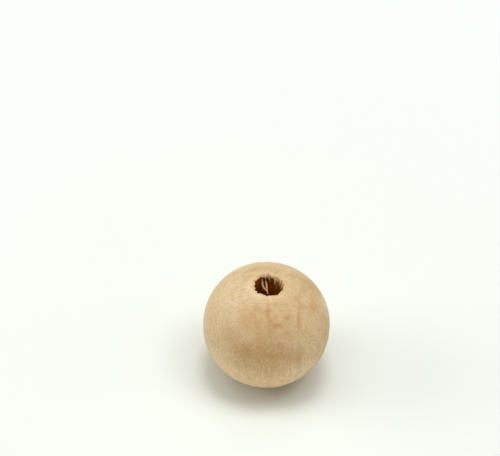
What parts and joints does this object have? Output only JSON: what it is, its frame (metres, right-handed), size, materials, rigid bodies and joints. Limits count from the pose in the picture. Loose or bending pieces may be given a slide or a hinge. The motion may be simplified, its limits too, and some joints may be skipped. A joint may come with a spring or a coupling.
{
  "type": "wooden bead",
  "caption": "Plain turned wooden bead, a slightly flattened ball with a cord bore along the grain and small faced ends.",
  "frame": {"origin": "middle of the bead, on the bore's axis and halfway between its two ends", "axes": "+Z along the bore and the grain; the bead stands on its lower end with the bore upright"},
  "size_m": [0.02, 0.02, 0.0184],
  "materials": {
    "bare_wood": "bare pale hardwood, fine sanded, neither stained nor varnished"
  },
  "bodies": {
    "root": {"bead": "bare_wood"}
  },
  "joints": []
}
